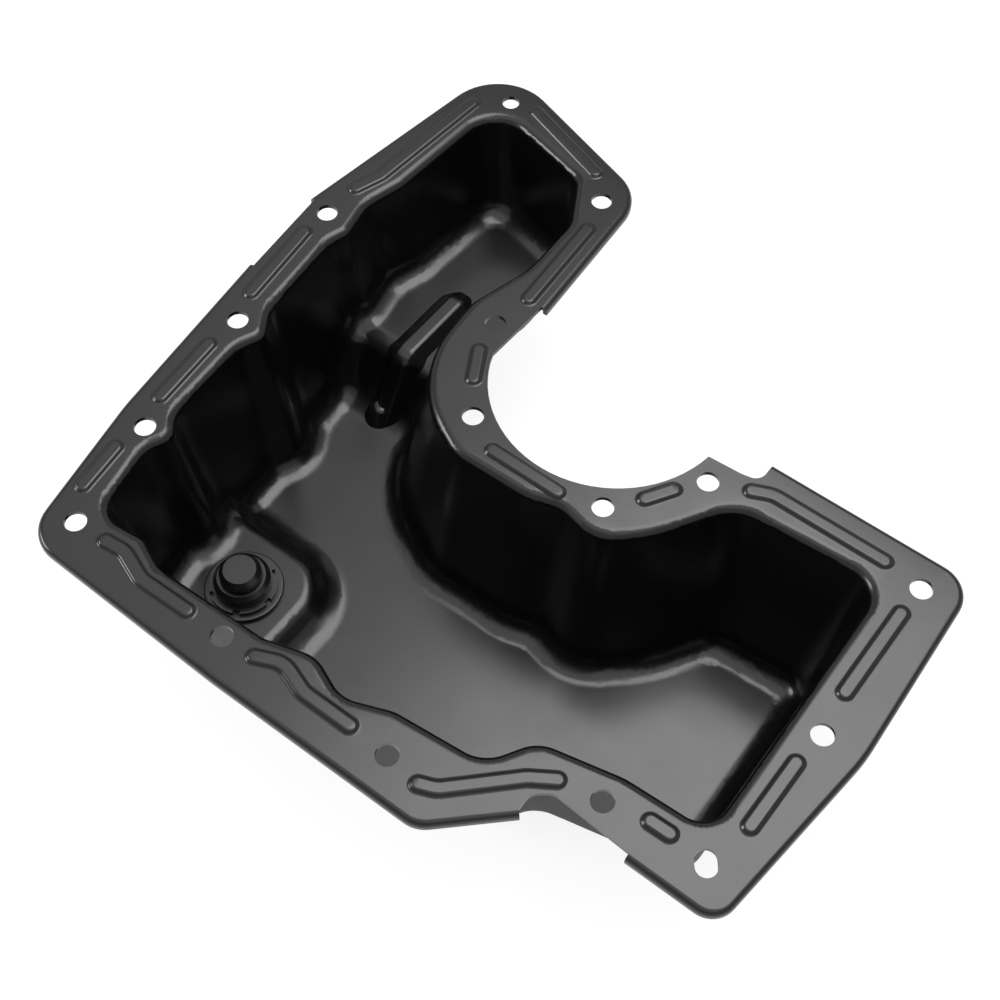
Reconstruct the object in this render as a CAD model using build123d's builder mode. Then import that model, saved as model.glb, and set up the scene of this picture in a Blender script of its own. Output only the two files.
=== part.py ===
from build123d import *
from math import atan2, radians, sin, tan
import os

os.makedirs("parts", exist_ok=True)

# Engine oil pan, millimetres. The gasket face is Z = 0 and the well hangs below it.
# The origin is the centre of the crescent that clears the crankshaft end, and X runs
# along the straight lower edge of the flange.

# Pressed sheet
SHEET = 1.5
LIP_BEND = 2.0
LIP_DROP = 3.2
MOUTH_BEND = 3.5

# Larger than the pan in any direction, and a little less, for what ends inside it
FAR = 300.0
NEARLY_FAR = 298.0

# Depths below the gasket face, measured to the upper face of the sheet
WELL_DEPTH = 65.5
SHELF_DEPTH = 41.5
PAD_DEPTH = 57.5

# Walls and floor
WALL_LEAN = 7.5
CRESCENT_LEAN = 11.0
ARM_LEAN = 6.5
LOWER_LEAN = 5.0
FLOOR_FILLET = 9.0
TIGHTEST_CORNER = 9.6
BULGE_SOFTENING = 0.4
BELOW_FLOOR = 2.0

# Step between the shelf in the narrow arm and the main floor
STEP_TOP_Y = -9.3
STEP_FOOT_Y = -21.8
STEP_TOP_ROUND = 9.0
STEP_FOOT_ROUND = 12.0

# Rib along the shelf and over the step, and the knob where it meets the floor
RIB_X = -80.7
RIB_END_Y = 25.5
RIB_HEIGHT = 3.5
RIB_WIDTH = 13.5
RIB_SIDE_ANGLE = 40.0
RIB_ROUND = 2.8
RIB_NOSE = 7.5
KNOB_X = -83.0
KNOB_Y = -21.5
KNOB_RADIUS = 6.5
KNOB_HEIGHT = 6.5
KNOB_SIDE_ANGLE = 28.0
KNOB_ROUND = 2.5

# Raised drain pad in the lower left corner of the floor
PAD_EDGE_X = -50.5
PAD_EDGE_Y = -88.0
PAD_CORNER = 14.0
PAD_SLOPE = 42.0
PAD_TOP_ROUND = 6.0
PAD_FOOT_ROUND = 12.0

# Beads pressed up into the flange
BEAD_WIDTH = 5.4
BEAD_HEIGHT = 1.0
BEAD_SIDE_ANGLE = 45.0
BEAD_ROUND = 1.2
BEAD_FOOT_ROUND = 1.2

# Holes in the flange
BOLT_HOLE = 7.0
LOCATING_HOLE = 6.0
SLOT_WIDTH = 6.4
SLOT_LENGTH = 8.2
SLOT_ANGLE = -52.5

# Drain
DRAIN_X = -70.2
DRAIN_Y = -107.4
THREAD = 14.0
SHANK_CLEARANCE = 0.05
NUT_FLANGE = 26.6
NUT_FLANGE_HEIGHT = 1.6
NUT_COLLAR = 22.8
NUT_COLLAR_HEIGHT = 1.6
NUT_BODY = 19.0
NUT_HEIGHT = 8.2
NUT_CHAMFER = 1.4
NUT_NOTCHES = 6
NUT_NOTCH_WIDTH = 2.4
PLUG_PROUD = 4.3
PLUG_TIP_CHAMFER = 1.5
HEAD_ACROSS_FLATS = 17.0
HEAD_FLANGE = 22.0
HEAD_FLANGE_HEIGHT = 1.5
HEAD_HEIGHT = 6.2
HEAD_CHAMFER = 1.0
HEAD_CORNER_CUT = 19.0
WASHER_OUTER = 21.0
WASHER_BORE_CLEARANCE = 0.4
WASHER_THICKNESS = 1.5

# Corners of the well's mouth, clockwise: X, Y, corner radius, and how far the wall that
# leaves the corner leans in on its way to the floor
MOUTH = [
    # arm, from its far end down to the crescent
    (-104.3, 74.5, 12, WALL_LEAN),
    (-61, 64, 8, ARM_LEAN),
    (-50.7, 46, 12, ARM_LEAN),
    (-50, 22, 25, ARM_LEAN),
    # round the crescent
    (-56, 0, 14, CRESCENT_LEAN),
    (-53.8, -37, 42, CRESCENT_LEAN),
    (-24, -51, 18, CRESCENT_LEAN),
    (3, -50.3, 14, CRESCENT_LEAN),
    (13.5, -46.8, 12, CRESCENT_LEAN),
    (29, -50, 14, CRESCENT_LEAN),
    (41.5, -38.5, 50, CRESCENT_LEAN),
    (56, -14.5, 14, CRESCENT_LEAN),
    # right end
    (105.5, -11, 10, WALL_LEAN),
    (107.3, -105, 8, LOWER_LEAN),
    # lower side, in and out round each bolt
    (80, -106.4, 30, LOWER_LEAN),
    (54.5, -112.3, 12, LOWER_LEAN),
    (46, -126.5, 12, LOWER_LEAN),
    (17, -129.5, 12, LOWER_LEAN),
    (2, -135.5, 12, LOWER_LEAN),
    (-12, -129.8, 12, LOWER_LEAN),
    (-28, -134.8, 12, LOWER_LEAN),
    (-68, -136.2, 10, LOWER_LEAN),
    (-78.5, -131.8, 6, LOWER_LEAN),
    (-95.5, -133.8, 8, WALL_LEAN),
    # left side, in and out round each bolt
    (-100.8, -108, 10, WALL_LEAN),
    (-96.8, -100, 6, WALL_LEAN),
    (-103, -92.5, 12, WALL_LEAN),
    (-104.8, -62, 12, WALL_LEAN),
    (-100.8, -53, 6, WALL_LEAN),
    (-107, -43.5, 12, WALL_LEAN),
    (-110.3, -10, 10, WALL_LEAN),
    (-108, -3, 6, WALL_LEAN),
    (-111, 11, 14, WALL_LEAN),
    (-107.3, 25, 14, WALL_LEAN),
]

# Edge of the flat flange, clockwise: X, Y and corner radius. The three stretches named
# as lips are turned down; between them the flange is trimmed back flat.
CRESCENT_RADIUS = 39.9
CRESCENT_START = 201.0
CRESCENT_END = -7.5
NOTCH = [(51, -4.4, 4), (57, -3.2, 4)]
LIP_RIGHT = [(57, 2.6, 0), (124.8, 3.4, 8.5), (127.8, -62, 60), (121.3, -123.9, 6), (93.4, -123.9, 0)]
CUT_OUT = [(67.5, -122.5, 5), (62.3, -126.5, 5)]
LIP_LOWER = [
    (62.6, -131.9, 0),
    (42.6, -151.2, 8),
    (-30, -152.2, 60),
    (-105.5, -151, 11),
    (-115.4, -100.2, 60),
    (-122.9, -33.7, 0),
]
LIP_ARM = [(-126, 0.6, 0), (-113.9, 91.5, 18.5), (-40.2, 69, 14), (-36.3, 10.5, 0)]

# Ordinary bolt holes, clockwise from the arm
BOLTS = [
    (-47.7, 59.8),
    (-44.0, -4.2),
    (-27.3, -37.4),
    (24.5, -39.9),
    (44.6, -13.0),
    (114.8, -6.1),
    (116.3, -63.2),
    (79.3, -116.3),
    (24.3, -141.5),
    (-36.9, -142.2),
    (-98.2, -140.4),
    (-105.9, -102.7),
    (-111.5, -53.9),
    (-118.6, -1.2),
]
LOCATING_AT = (-100.7, 78.1)
SLOT_AT = (111.3, -113.7)

# Middle lines of the beads: corner points, joined by gentle bends
BEADS = [
    [(-118, 13), (-114.8, 22.5), (-111.4, 69.5)],
    [(-90.5, 80), (-57, 69)],
    [(-43.9, 46.5), (-41.6, 10.5)],
    [(-41.5, -16), (-36, -26)],
    [(-14.5, -43.9), (10.5, -43.9)],
    [(33, -30), (38, -22)],
    [(57, -8), (63, -5.2), (101.5, -4.8)],
    [(114.2, -17), (114.5, -48.5)],
    [(115, -75), (115, -98)],
    [(93, -113.2), (99, -113)],
    [(36.5, -143), (41.5, -141), (59, -123.5), (66, -118.9)],
    [(-25, -141.4), (-17, -137.8), (-6.5, -141.3), (10.5, -141.2)],
    [(-86, -139.8), (-79, -139), (-68.5, -142.8), (-50.5, -142.3)],
    [(-105.5, -130), (-107.5, -114)],
    [(-109.9, -91.5), (-112, -67)],
    [(-115.5, -43), (-119, -12.5)],
]
BEAD_BEND = 8.0


def moved_outline(corners, depth, grow):
    """Corner points and radii of the well's outline at a depth, moved out by grow.

    Below the mouth no hollow corner is tighter than the floor fillet can follow, and
    the bulges round the bolts grow softer.
    """
    share = depth / WELL_DEPTH
    points = []
    radii = []
    for before, corner, after in zip(corners[-1:] + corners[:-1], corners, corners[1:] + corners[:1]):
        arriving = Vector(corner[0] - before[0], corner[1] - before[1]).normalized()
        leaving = Vector(after[0] - corner[0], after[1] - corner[1]).normalized()
        along = arriving.dot(leaving)
        side_in = before[3] * share - grow
        side_out = corner[3] * share - grow
        first = (side_in - side_out * along) / (1 - along**2)
        second = (side_out - side_in * along) / (1 - along**2)
        points.append((
            corner[0] + arriving.Y * first + leaving.Y * second,
            corner[1] - arriving.X * first - leaving.X * second,
        ))
        hollow = arriving.X * leaving.Y - arriving.Y * leaving.X < 0
        if hollow:
            tight = TIGHTEST_CORNER * min(share, 1)
            radii.append(max(corner[2], tight) + grow)
        else:
            radii.append(corner[2] + BULGE_SOFTENING * WALL_LEAN * share - grow)
    return points, radii


def rib(grow):
    """Rib along the shelf that turns down over the step, sunk well below its surface."""
    step_angle = atan2(WELL_DEPTH - SHELF_DEPTH, STEP_TOP_Y - STEP_FOOT_Y)
    side = radians(RIB_SIDE_ANGLE)
    rise = RIB_HEIGHT - grow
    top_z = rise - SHELF_DEPTH
    low_z = -WELL_DEPTH - 2 * RIB_WIDTH
    nose_y = STEP_TOP_Y - rise * tan(step_angle / 2)
    foot_y = nose_y - (top_z - low_z) / tan(step_angle)
    tail_y = RIB_END_Y - grow / sin(side) - rise / tan(side)
    tail_low_y = tail_y + (top_z - low_z) / tan(side)
    crest = RIB_WIDTH / 2 - RIB_HEIGHT / tan(side) - grow * tan(side / 2)
    with BuildPart() as ridge:
        # flat crest, then the sloped side, and both again on the other side
        for start, length, taper in ((0, crest, 0), (crest, RIB_WIDTH / 2, RIB_SIDE_ANGLE)):
            with BuildSketch(Plane.YZ.offset(RIB_X + start)):
                with BuildLine():
                    line = FilletPolyline(
                        (foot_y, low_z),
                        (nose_y, top_z),
                        (tail_y, top_z),
                        (tail_low_y, low_z),
                        radius=RIB_NOSE,
                    )
                    Line(line @ 1, line @ 0)
                make_face()
            extrude(amount=length, taper=taper)
        shoulder = ridge.edges().filter_by(Plane.YZ).filter_by(
            lambda e: abs(e.center().X - RIB_X - crest) < 0.01 and e.bounding_box().max.Z > -WELL_DEPTH
        )
        fillet(shoulder, RIB_ROUND - grow)
        mirror(about=Plane.YZ.offset(RIB_X))
    return ridge.part


def knob(grow):
    """Small rounded knob on the floor at the foot of the rib."""
    with BuildPart() as bump:
        with BuildSketch(Plane.XY.offset(-WELL_DEPTH - grow)):
            with Locations((KNOB_X, KNOB_Y)):
                Circle(KNOB_RADIUS - grow * tan(radians(45 - KNOB_SIDE_ANGLE / 2)))
        extrude(amount=KNOB_HEIGHT, taper=KNOB_SIDE_ANGLE)
        fillet(bump.edges().sort_by(Axis.Z)[-1], KNOB_ROUND - grow)
    return bump.part


def floor_block(grow):
    """Everything below the well's floor: main floor, stepped shelf, rib, knob and drain pad."""
    floor_z = -WELL_DEPTH - grow
    shelf_z = -SHELF_DEPTH - grow
    step_angle = atan2(WELL_DEPTH - SHELF_DEPTH, STEP_TOP_Y - STEP_FOOT_Y)
    step_back = grow * tan(step_angle / 2)
    slope_back = grow * tan(radians(45 - PAD_SLOPE / 2))
    pad_x = PAD_EDGE_X - slope_back
    pad_y = PAD_EDGE_Y - slope_back
    with BuildPart() as block:
        # floor, step and shelf as one line seen from the side
        with BuildSketch(Plane.YZ):
            with BuildLine():
                line = FilletPolyline(
                    (-FAR, floor_z),
                    (STEP_FOOT_Y + step_back, floor_z),
                    (STEP_TOP_Y + step_back, shelf_z),
                    (FAR, shelf_z),
                    radius=[STEP_FOOT_ROUND + grow, STEP_TOP_ROUND - grow],
                )
                Polyline(line @ 1, (FAR, -FAR), (-FAR, -FAR), line @ 0)
            make_face()
        extrude(amount=-FAR)
        # main floor alone on the far side of the crescent
        with BuildSketch(Plane.YZ):
            with Locations((0, (floor_z - FAR) / 2)):
                Rectangle(2 * FAR, FAR + floor_z)
        extrude(amount=FAR)
        # drain pad, its slopes spreading down into the floor
        with BuildSketch(Plane.XY.offset(-PAD_DEPTH - grow)):
            with BuildLine():
                edge = FilletPolyline(
                    (-NEARLY_FAR, pad_y), (pad_x, pad_y), (pad_x, -NEARLY_FAR), radius=PAD_CORNER - grow
                )
                Polyline(edge @ 1, (-NEARLY_FAR, -NEARLY_FAR), edge @ 0)
            make_face()
        extrude(amount=PAD_DEPTH - WELL_DEPTH, taper=-PAD_SLOPE)
        pad_top = block.faces().filter_by(Plane.XY).group_by(Axis.Z)[-2]
        pad_rim = pad_top.edges().filter_by(lambda e: min(e.center().X, e.center().Y) > 1 - NEARLY_FAR)
        fillet(pad_rim, PAD_TOP_ROUND - grow)
        floor = block.faces().filter_by(Plane.XY).filter_by(
            lambda f: abs(f.center().Z - floor_z) < 0.01
        )
        pad_foot = floor.edges().filter_by(
            lambda e: e.center().Y < 2 * STEP_FOOT_Y and e.center().X < PAD_EDGE_X / 2
            and min(e.center().X, e.center().Y) > 1 - NEARLY_FAR
        )
        fillet(pad_foot, PAD_FOOT_ROUND + grow)
        add(rib(grow))
        add(knob(grow))
    return block.part


def well_air(grow):
    """The space inside the well down to its floor, moved out everywhere by grow."""
    bottom = WELL_DEPTH + grow + BELOW_FLOOR
    block = floor_block(grow)
    with BuildPart() as air:
        for depth in (0, bottom):
            points, radii = moved_outline(MOUTH, depth, grow)
            with BuildSketch(Plane.XY.offset(-depth)):
                with BuildLine():
                    FilletPolyline(*points, radius=radii, close=True)
                make_face()
        loft(ruled=True)
        add(block, mode=Mode.SUBTRACT)
        walls = air.faces().filter_by(lambda f: f.bounding_box().max.Z > -1)
        foot_edges = walls.edges().filter_by(lambda e: e.bounding_box().max.Z < -SHELF_DEPTH / 2)
        fillet(foot_edges, FLOOR_FILLET + grow)
    return air.part


def lip(corners):
    """Edge of the flange turned down along one stretch of its outline."""
    points = [corner[:2] for corner in corners]
    radii = [corner[2] for corner in corners[1:-1]]
    inner_bend = LIP_BEND - SHEET
    with BuildPart() as turned:
        with BuildLine():
            path = FilletPolyline(*points, radius=radii)
        forward = path % 0
        with BuildSketch(Plane(path @ 0, x_dir=(-forward.Y, forward.X, 0), z_dir=forward)):
            with BuildLine():
                outside = RadiusArc((0, 0), (LIP_BEND, -LIP_BEND), LIP_BEND)
                inside = RadiusArc((0, -SHEET), (inner_bend, -LIP_BEND), inner_bend)
                Polyline(outside @ 1, (LIP_BEND, -LIP_DROP), (inner_bend, -LIP_DROP), inside @ 1)
                Line(inside @ 0, outside @ 0)
            make_face()
        sweep(path=path)
    return turned.part


def bead(points, width, level):
    """One bead standing up from a level, with sloped sides and rounded ends."""
    with BuildPart() as ridge:
        with BuildSketch(Plane.XY.offset(level)):
            with BuildLine():
                if len(points) == 2:
                    Line(*points)
                else:
                    FilletPolyline(*points, radius=BEAD_BEND)
                offset(amount=width / 2)
            make_face()
        extrude(amount=BEAD_HEIGHT, taper=BEAD_SIDE_ANGLE)
        crest = ridge.faces().sort_by(Axis.Z)[-1]
        fillet(crest.edges(), BEAD_ROUND)
    return ridge.part


# Pan, one pressed sheet: well, stepped floor, flange, turned-down lips, beads and holes
inside = well_air(0)
outside = well_air(SHEET)
bead_step = SHEET * tan(radians(45 - BEAD_SIDE_ANGLE / 2))
ridges = [bead(points, BEAD_WIDTH, 0) for points in BEADS]
grooves = [bead(points, BEAD_WIDTH - 2 * bead_step, -SHEET) for points in BEADS]
with BuildPart() as pan_body:
    with BuildSketch():
        with BuildLine():
            start = Vector(CRESCENT_RADIUS, 0).rotate(Axis.Z, CRESCENT_END)
            end = Vector(CRESCENT_RADIUS, 0).rotate(Axis.Z, CRESCENT_START)
            rim = NOTCH + LIP_RIGHT + CUT_OUT + LIP_LOWER + LIP_ARM
            FilletPolyline(
                start,
                *[corner[:2] for corner in rim],
                end,
                radius=[corner[2] for corner in rim],
            )
            ThreePointArc(end, (0, -CRESCENT_RADIUS), start)
        make_face()
    extrude(amount=-SHEET)
    add(outside)
    under = pan_body.faces().filter_by(Plane.XY).filter_by(lambda f: abs(f.center().Z + SHEET) < 0.01)
    fillet(under.faces()[0].inner_wires().edges(), MOUTH_BEND - SHEET)
    add(inside, mode=Mode.SUBTRACT)
    top = pan_body.faces().filter_by(Plane.XY).sort_by(Axis.Z)[-1]
    fillet(top.inner_wires().edges(), MOUTH_BEND)
    for stretch in (LIP_RIGHT, LIP_LOWER, LIP_ARM):
        add(lip(stretch))
    add(ridges)
    top = pan_body.faces().filter_by(Plane.XY).filter_by(lambda f: abs(f.center().Z) < 0.01)
    top = top.sort_by(SortBy.AREA)[-1]
    bead_feet = top.inner_wires().sort_by(SortBy.LENGTH)[:-1]
    fillet([edge for foot in bead_feet for edge in foot.edges()], BEAD_FOOT_ROUND)
    add(grooves, mode=Mode.SUBTRACT)
    with Locations(*BOLTS):
        Hole(BOLT_HOLE / 2, depth=SHEET * 2)
    with Locations(LOCATING_AT):
        Hole(LOCATING_HOLE / 2, depth=SHEET * 2)
    with BuildSketch(Plane.XY.offset(-SHEET)):
        with Locations(Location(SLOT_AT, SLOT_ANGLE)):
            SlotOverall(SLOT_LENGTH, SLOT_WIDTH)
    extrude(amount=SHEET, mode=Mode.SUBTRACT)
    with Locations((DRAIN_X, DRAIN_Y, -PAD_DEPTH)):
        Hole(THREAD / 2 + SHANK_CLEARANCE, depth=SHEET * 2)

pan_body.part.label = "pan_body"
export_step(pan_body.part, "parts/pan_body.step")

# Weld nut inside the pan, its base flange on the drain pad
nut_plane = Plane.XY.offset(-PAD_DEPTH).move(Location((DRAIN_X, DRAIN_Y, 0)))
with BuildPart() as drain_nut:
    with BuildSketch(nut_plane):
        Circle(NUT_FLANGE / 2)
    extrude(amount=NUT_FLANGE_HEIGHT)
    fillet(drain_nut.edges().group_by(Axis.Z)[-1], NUT_FLANGE_HEIGHT / 3)
    with BuildSketch(nut_plane.offset(NUT_FLANGE_HEIGHT)):
        Circle(NUT_COLLAR / 2)
        with PolarLocations(NUT_COLLAR / 2, NUT_NOTCHES):
            Rectangle(NUT_NOTCH_WIDTH, NUT_NOTCH_WIDTH, mode=Mode.SUBTRACT)
    extrude(amount=NUT_COLLAR_HEIGHT)
    with BuildSketch(nut_plane):
        Circle(NUT_BODY / 2)
    extrude(amount=NUT_HEIGHT)
    chamfer(drain_nut.faces().sort_by(Axis.Z)[-1].edges(), NUT_CHAMFER)
    with BuildSketch(nut_plane):
        Circle(THREAD / 2 + SHANK_CLEARANCE)
    extrude(amount=NUT_HEIGHT, mode=Mode.SUBTRACT)

drain_nut.part.label = "drain_nut"
export_step(drain_nut.part, "parts/drain_nut.step")

# Sealing washer between the plug's head and the underside of the pad
seat_plane = nut_plane.offset(-SHEET)
with BuildPart() as sealing_washer:
    with BuildSketch(seat_plane):
        Circle(WASHER_OUTER / 2)
        Circle(THREAD / 2 + WASHER_BORE_CLEARANCE, mode=Mode.SUBTRACT)
    extrude(amount=-WASHER_THICKNESS)

sealing_washer.part.label = "sealing_washer"
export_step(sealing_washer.part, "parts/sealing_washer.step")

# Drain plug: low hexagon head with a flange, and a shank that stands up through the nut
head_plane = seat_plane.offset(-WASHER_THICKNESS)
with BuildPart() as drain_plug:
    with BuildSketch(head_plane):
        RegularPolygon(HEAD_ACROSS_FLATS / 2, 6, major_radius=False)
    extrude(amount=-HEAD_HEIGHT)
    with BuildSketch(head_plane):
        Circle(HEAD_CORNER_CUT / 2)
    extrude(amount=-HEAD_HEIGHT, mode=Mode.INTERSECT)
    chamfer(drain_plug.faces().sort_by(Axis.Z)[0].edges().filter_by(GeomType.CIRCLE), HEAD_CHAMFER)
    with BuildSketch(head_plane):
        Circle(HEAD_FLANGE / 2)
    extrude(amount=-HEAD_FLANGE_HEIGHT)
    with BuildSketch(head_plane):
        Circle(THREAD / 2)
    extrude(amount=WASHER_THICKNESS + SHEET + NUT_HEIGHT + PLUG_PROUD)
    chamfer(drain_plug.faces().sort_by(Axis.Z)[-1].edges(), PLUG_TIP_CHAMFER)

drain_plug.part.label = "drain_plug"
export_step(drain_plug.part, "parts/drain_plug.step")
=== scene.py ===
from math import pi, radians

import bmesh
import bpy
from mathutils import Matrix, Vector


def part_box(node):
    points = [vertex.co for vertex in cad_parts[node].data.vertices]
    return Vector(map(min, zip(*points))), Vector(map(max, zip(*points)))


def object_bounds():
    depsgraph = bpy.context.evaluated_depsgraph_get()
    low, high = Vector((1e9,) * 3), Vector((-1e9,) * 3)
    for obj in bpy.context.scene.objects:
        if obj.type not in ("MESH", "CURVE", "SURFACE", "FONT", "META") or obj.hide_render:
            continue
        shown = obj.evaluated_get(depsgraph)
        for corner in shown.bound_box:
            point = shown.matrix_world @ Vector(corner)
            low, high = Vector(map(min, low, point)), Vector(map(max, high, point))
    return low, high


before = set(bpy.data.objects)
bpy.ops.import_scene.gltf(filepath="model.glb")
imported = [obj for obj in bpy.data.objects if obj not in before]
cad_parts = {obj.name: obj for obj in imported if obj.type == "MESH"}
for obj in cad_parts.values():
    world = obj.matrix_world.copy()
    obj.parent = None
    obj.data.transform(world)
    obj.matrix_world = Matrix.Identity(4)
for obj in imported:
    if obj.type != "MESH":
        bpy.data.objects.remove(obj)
cad_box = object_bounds()

MM = 0.001

# Smooth shading: triangle corners closer than this are joined, edges sharper than the angle
# in degrees stay sharp, and above 50 the weight keeps large flat faces flat
JOINED_WITHIN = 0.001 * MM
SMOOTH_BELOW = 32
FLAT_FACE_WEIGHT = 68

# Finishes: the paint film's refractive index, how deep a finish's fine dents are, and the range
# that most of a noise texture's values are in
FILM_INDEX = 1.52
DENT_DEPTH = 0.03 * MM
NOISE_LOW = 0.3
NOISE_HIGH = 0.7

# The z of a face's normal where it starts to count as the well's outside and where it fully
# does, and how much rougher the film is there
OUTSIDE_STARTS = -0.02
OUTSIDE_FULL = -0.07
OUTSIDE_DULLNESS = 0.36

# The drain: its axis and upper end from the plug's packed box, the pitch of the plug's thread,
# and how far apart and how deep the tool marks on the nut are
plug_low, plug_high = (Vector(corner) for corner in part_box("drain_plug"))
DRAIN_AT = (plug_low + plug_high) / 2
THREAD_PITCH = 1.5 * MM
TURNING_PITCH = 0.8 * MM
TURNING_DEPTH = 0.02 * MM
# a wave texture of scale 1 repeats its rings every 2 pi / 20 of a metre
WAVE_SCALE = 2 * pi / 20

# Floor and light, metres; a panel is its centre, what it faces, its size and its radiance
FLOOR_SIZE = 6.0
FLOOR_GLOW = 0.85
PANELS = {
    "overhead": ((0.07, 0.34, 1.2), (0.02, 0.0, 0.0), (0.95, 0.75), 4.4),
    "ceiling": ((0.0, 0.0, 1.5), (0.0, 0.0, 0.0), (2.6, 2.4), 0.75),
    "front_left": ((-0.95, -0.65, 0.45), (0.0, 0.0, 0.0), (0.5, 0.35), 9.0),
}
SURROUNDINGS = 0.6

# Camera: where the photograph was taken from, in the pan's own frame
CAMERA_AT = Vector((161.1, -266.0, 421.7)) * MM
CAMERA_RIGHT = Vector((0.79219, 0.61026, -0.00303))
CAMERA_DOWN = Vector((0.51541, -0.67170, -0.53215))
CAMERA_FORWARD = Vector((-0.32679, 0.42000, -0.84665))
FOCAL_PIXELS = 1647.0
PHOTO_PIXELS = 1000.0
SENSOR = 36.0


def set_camera():
    """Camera at the photograph's viewing angle and distance."""
    data = bpy.data.cameras.new("camera")
    data.sensor_width = SENSOR
    data.lens = SENSOR * FOCAL_PIXELS / PHOTO_PIXELS
    data.clip_start = 10 * MM
    camera = bpy.data.objects.new("camera", data)
    turn = Matrix((CAMERA_RIGHT, -CAMERA_DOWN, -CAMERA_FORWARD)).transposed().to_4x4()
    camera.matrix_world = Matrix.Translation(CAMERA_AT) @ turn
    bpy.context.scene.collection.objects.link(camera)
    bpy.context.scene.camera = camera


def linear(hex_colour):
    """An sRGB hex colour as linear RGBA."""
    channels = [int(hex_colour[i:i + 2], 16) / 255 for i in (1, 3, 5)]
    light = (c / 12.92 if c <= 0.04045 else ((c + 0.055) / 1.055) ** 2.4 for c in channels)
    return (*light, 1.0)


def add_node(material, kind, settings=None, **links):
    """Adds one shader node, sets its sockets and properties, and links what is given."""
    node = material.node_tree.nodes.new(kind)
    for name, value in (settings or {}).items():
        if isinstance(name, int) or name in node.inputs:
            node.inputs[name].default_value = value
        else:
            setattr(node, name, value)
    for name, source in links.items():
        material.node_tree.links.new(source, node.inputs[name.replace("_", " ")])
    return node


def new_material(name, shader_settings):
    """An empty material with one principled shader, and that shader."""
    material = bpy.data.materials.new(name)
    material.use_nodes = True
    shader = material.node_tree.nodes["Principled BSDF"]
    for socket, value in shader_settings.items():
        shader.inputs[socket].default_value = value
    return material, shader


def fine_dents(material, shader, place, grain, strength):
    """Dents of one grain size, such as a film's orange peel, seen only in the highlights."""
    peel = add_node(
        material, "ShaderNodeTexNoise", {"Scale": 1 / grain, "Detail": 2.0}, Vector=place
    )
    bump = add_node(
        material, "ShaderNodeBump", {"Strength": strength, "Distance": DENT_DEPTH},
        Height=peel.outputs["Fac"],
    )
    material.node_tree.links.new(bump.outputs["Normal"], shader.inputs["Normal"])
    return bump


def patchy_roughness(material, shader, place, patch, glossiest, dullest, detail=4.0):
    """A finish that is a little more or less glossy from patch to patch."""
    cloud = add_node(
        material, "ShaderNodeTexNoise", {"Scale": 1 / patch, "Detail": detail}, Vector=place
    )
    rough = add_node(
        material, "ShaderNodeMapRange",
        {"From Min": NOISE_LOW, "From Max": NOISE_HIGH, "To Min": glossiest, "To Max": dullest},
        Value=cloud.outputs["Fac"],
    )
    material.node_tree.links.new(rough.outputs["Result"], shader.inputs["Roughness"])


def about_drain(material, place):
    """The given coordinates, moved so that the drain's axis is at their origin."""
    return add_node(
        material, "ShaderNodeMapping", {"Location": (-DRAIN_AT.x, -DRAIN_AT.y, 0.0)}, Vector=place
    ).outputs["Vector"]


def satin_black_coat():
    """Black dipped primer on pressed steel: thin, even, satin, with a faint orange peel."""
    material, shader = new_material("satin_black_coat", {
        "Base Color": linear("#080809"),
        "IOR": FILM_INDEX,
    })
    place = add_node(material, "ShaderNodeTexCoord").outputs["Object"]
    link = material.node_tree.links.new
    # film a little more or less glossy from place to place
    cloud = add_node(
        material, "ShaderNodeTexNoise", {"Scale": 1 / (16 * MM), "Detail": 4.0}, Vector=place
    )
    # faint drawing marks, long down the walls and fine across
    stretch = add_node(material, "ShaderNodeMapping", {"Scale": (1.0, 1.0, 0.06)}, Vector=place)
    drawn = add_node(
        material, "ShaderNodeTexNoise", {"Scale": 1 / (1.6 * MM), "Detail": 3.0},
        Vector=stretch.outputs["Vector"],
    )
    mixed = add_node(
        material, "ShaderNodeMath", {"operation": "MULTIPLY_ADD", 1: 0.25},
        Value=drawn.outputs["Fac"],
    )
    link(cloud.outputs["Fac"], mixed.inputs[2])
    rough = add_node(
        material, "ShaderNodeMapRange",
        {"From Min": 0.35, "From Max": 0.90, "To Min": 0.20, "To Max": 0.26},
        Value=mixed.outputs["Value"],
    )
    # the outside of the well faces slightly downwards, and its film is dull
    normal = add_node(material, "ShaderNodeNewGeometry").outputs["Normal"]
    facing = add_node(material, "ShaderNodeSeparateXYZ", Vector=normal)
    dull = add_node(
        material, "ShaderNodeMapRange",
        {"From Min": OUTSIDE_STARTS, "From Max": OUTSIDE_FULL,
         "To Min": 0.0, "To Max": OUTSIDE_DULLNESS},
        Value=facing.outputs["Z"],
    )
    total = add_node(material, "ShaderNodeMath", {"operation": "ADD"})
    link(rough.outputs["Result"], total.inputs[0])
    link(dull.outputs["Result"], total.inputs[1])
    link(total.outputs["Value"], shader.inputs["Roughness"])
    fine_dents(material, shader, place, grain=1.1 * MM, strength=0.05)
    return material


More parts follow.
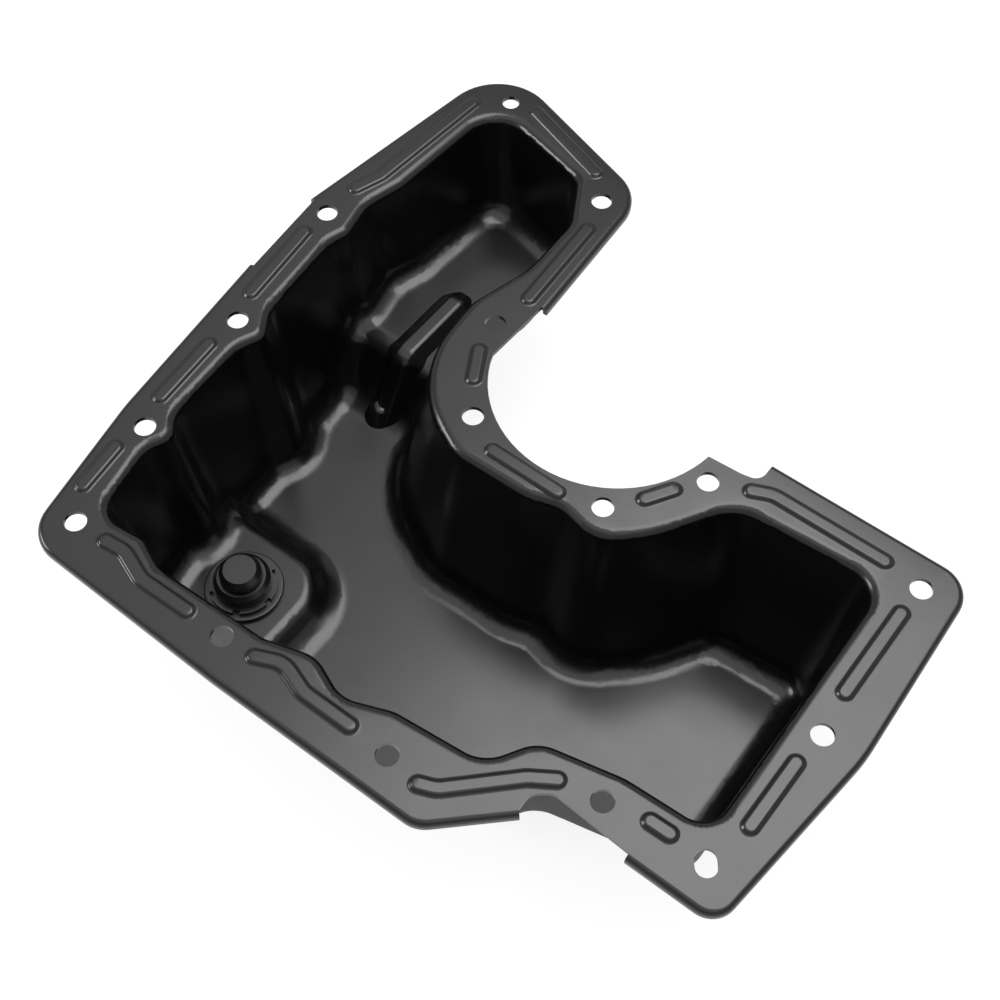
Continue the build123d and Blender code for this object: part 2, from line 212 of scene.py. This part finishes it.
def coated_nut_paint():
    """The same black primer on a turned weld nut: a little duller, tool rings under the film."""
    material, shader = new_material("satin_black_coated_weld_nut", {
        "Base Color": linear("#0A0A0B"),
        "IOR": FILM_INDEX,
    })
    place = add_node(material, "ShaderNodeTexCoord").outputs["Object"]
    rings = add_node(
        material, "ShaderNodeTexWave",
        {"wave_type": "RINGS", "rings_direction": "Z", "Scale": WAVE_SCALE / TURNING_PITCH,
         "Distortion": 0.6, "Detail": 2.0},
        Vector=about_drain(material, place),
    )
    patchy_roughness(material, shader, place, patch=4 * MM, glossiest=0.25, dullest=0.36)
    film = fine_dents(material, shader, place, grain=0.7 * MM, strength=0.08)
    turned = add_node(
        material, "ShaderNodeBump", {"Strength": 0.25, "Distance": TURNING_DEPTH},
        Height=rings.outputs["Fac"], Normal=film.outputs["Normal"],
    )
    material.node_tree.links.new(turned.outputs["Normal"], shader.inputs["Normal"])
    return material


def threaded_plug_paint():
    """The same black primer on the drain plug: rolled thread round the shank, plain flat end."""
    material, shader = new_material("satin_black_coated_drain_plug", {
        "Base Color": linear("#0C0C0D"),
        "IOR": FILM_INDEX,
    })
    link = material.node_tree.links.new
    place = add_node(material, "ShaderNodeTexCoord").outputs["Object"]
    axes = add_node(material, "ShaderNodeSeparateXYZ", Vector=about_drain(material, place))
    # one full turn of angle is one pitch of height
    turn = add_node(material, "ShaderNodeMath", {"operation": "ARCTAN2"})
    link(axes.outputs["Y"], turn.inputs[0])
    link(axes.outputs["X"], turn.inputs[1])
    rise = add_node(material, "ShaderNodeMath", {"operation": "MULTIPLY", 1: 1 / THREAD_PITCH})
    link(axes.outputs["Z"], rise.inputs[0])
    helix = add_node(material, "ShaderNodeMath", {"operation": "MULTIPLY_ADD", 1: 1 / (2 * pi)})
    link(turn.outputs["Value"], helix.inputs[0])
    link(rise.outputs["Value"], helix.inputs[2])
    crest = add_node(material, "ShaderNodeMath", {"operation": "PINGPONG", 1: 0.5})
    link(helix.outputs["Value"], crest.inputs[0])
    # the thread starts above the washer, and the head below it is plain
    washer_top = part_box("sealing_washer")[1][2]
    shank = add_node(material, "ShaderNodeMapRange", {
        "From Min": washer_top, "From Max": washer_top + THREAD_PITCH,
        "To Min": 0.0, "To Max": 1.0,
    })
    link(axes.outputs["Z"], shank.inputs["Value"])
    # and it fades out where the tip's chamfer begins
    below_tip = add_node(material, "ShaderNodeMapRange", {
        "From Min": plug_high.z - 1.5 * THREAD_PITCH, "From Max": plug_high.z - THREAD_PITCH,
        "To Min": 1.0, "To Max": 0.0,
    })
    link(axes.outputs["Z"], below_tip.inputs["Value"])
    threaded = add_node(material, "ShaderNodeMath", {"operation": "MULTIPLY"})
    link(shank.outputs["Result"], threaded.inputs[0])
    link(below_tip.outputs["Result"], threaded.inputs[1])
    height = add_node(material, "ShaderNodeMath", {"operation": "MULTIPLY"})
    link(crest.outputs["Value"], height.inputs[0])
    link(threaded.outputs["Value"], height.inputs[1])
    film = fine_dents(material, shader, place, grain=0.7 * MM, strength=0.06)
    thread = add_node(
        material, "ShaderNodeBump", {"Strength": 0.8, "Distance": THREAD_PITCH},
        Height=height.outputs["Value"], Normal=film.outputs["Normal"],
    )
    link(thread.outputs["Normal"], shader.inputs["Normal"])
    patchy_roughness(material, shader, place, patch=5 * MM, glossiest=0.22, dullest=0.32)
    return material


def washer_metal():
    """Dull soft aluminium sealing ring, with the fine scuffs of turning and pressing."""
    material, shader = new_material("dull_aluminium_sealing_ring", {
        "Base Color": linear("#B9BBBD"),
        "Metallic": 1.0,
    })
    place = add_node(material, "ShaderNodeTexCoord").outputs["Object"]
    patchy_roughness(
        material, shader, place, patch=1.5 * MM, glossiest=0.34, dullest=0.52, detail=5.0
    )
    fine_dents(material, shader, place, grain=0.4 * MM, strength=0.2)
    return material


def smooth_finish(node_object):
    """Modifiers that join a node's triangles and shade its rounded faces smoothly."""
    tree = bpy.data.node_groups.get("smooth_by_angle")
    if tree is None:
        tree = bpy.data.node_groups.new("smooth_by_angle", "GeometryNodeTree")
        tree.interface.new_socket("Geometry", in_out="INPUT", socket_type="NodeSocketGeometry")
        tree.interface.new_socket("Geometry", in_out="OUTPUT", socket_type="NodeSocketGeometry")
        make = tree.nodes.new
        start = make("NodeGroupInput")
        merge = make("GeometryNodeMergeByDistance")
        merge.inputs["Distance"].default_value = JOINED_WITHIN
        faces = make("GeometryNodeSetShadeSmooth")
        faces.domain = "FACE"
        edge_angle = make("GeometryNodeInputMeshEdgeAngle")
        gentle = make("FunctionNodeCompare")
        gentle.data_type = "FLOAT"
        gentle.operation = "LESS_THAN"
        gentle.inputs[1].default_value = radians(SMOOTH_BELOW)
        edges = make("GeometryNodeSetShadeSmooth")
        edges.domain = "EDGE"
        end = make("NodeGroupOutput")
        link = tree.links.new
        link(start.outputs[0], merge.inputs["Geometry"])
        link(merge.outputs["Geometry"], faces.inputs["Geometry"])
        link(faces.outputs["Geometry"], edges.inputs["Geometry"])
        link(edge_angle.outputs["Unsigned Angle"], gentle.inputs[0])
        link(gentle.outputs["Result"], edges.inputs["Shade Smooth"])
        link(edges.outputs["Geometry"], end.inputs[0])
    modifier = node_object.modifiers.new("smooth", "NODES")
    modifier.node_group = tree
    weighted = node_object.modifiers.new("weighted_normals", "WEIGHTED_NORMAL")
    weighted.mode = "FACE_AREA_WITH_ANGLE"
    weighted.keep_sharp = True
    weighted.weight = FLAT_FACE_WEIGHT


def add_panel(name, centre, target, size, radiance):
    """A rectangular softbox at a place, turned to a target, as bright as its face is seen."""
    data = bpy.data.lights.new(name, "AREA")
    data.shape = "RECTANGLE"
    data.size, data.size_y = size
    data.energy = radiance * pi * size[0] * size[1]
    light = bpy.data.objects.new(name, data)
    away = (Vector(centre) - Vector(target)).normalized()
    turn = away.to_track_quat("Z", "Y").to_matrix().to_4x4()
    light.matrix_world = Matrix.Translation(Vector(centre)) @ turn
    bpy.context.scene.collection.objects.link(light)


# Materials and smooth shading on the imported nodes
finishes = {
    "pan_body": satin_black_coat(),
    "drain_nut": coated_nut_paint(),
    "drain_plug": threaded_plug_paint(),
    "sealing_washer": washer_metal(),
}
for name, finish in finishes.items():
    node_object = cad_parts[name]
    node_object.data.materials.clear()
    node_object.data.materials.append(finish)
    smooth_finish(node_object)

# Floor, at the height of the part's lowest point
bm = bmesh.new()
bmesh.ops.create_grid(bm, x_segments=1, y_segments=1, size=FLOOR_SIZE / 2)
bmesh.ops.translate(bm, verts=bm.verts, vec=(0, 0, cad_box[0][2]))
floor_mesh = bpy.data.meshes.new("floor")
bm.to_mesh(floor_mesh)
bm.free()
floor = bpy.data.objects.new("floor", floor_mesh)
bpy.context.scene.collection.objects.link(floor)
floor_material, _ = new_material("lit_opal_acrylic_floor", {
    "Base Color": linear("#808080"),
    "Roughness": 0.9,
    "Emission Color": linear("#FFFFFF"),
    "Emission Strength": FLOOR_GLOW,
})
floor_mesh.materials.append(floor_material)

# Light and camera
for name, (centre, target, size, radiance) in PANELS.items():
    add_panel(name, centre, target, size, radiance)
world = bpy.data.worlds.new("studio")
bpy.context.scene.world = world
world.use_nodes = True
background = world.node_tree.nodes["Background"]
background.inputs["Color"].default_value = linear("#FFFFFF")
background.inputs["Strength"].default_value = SURROUNDINGS
bpy.context.scene.view_settings.view_transform = "Standard"
set_camera()
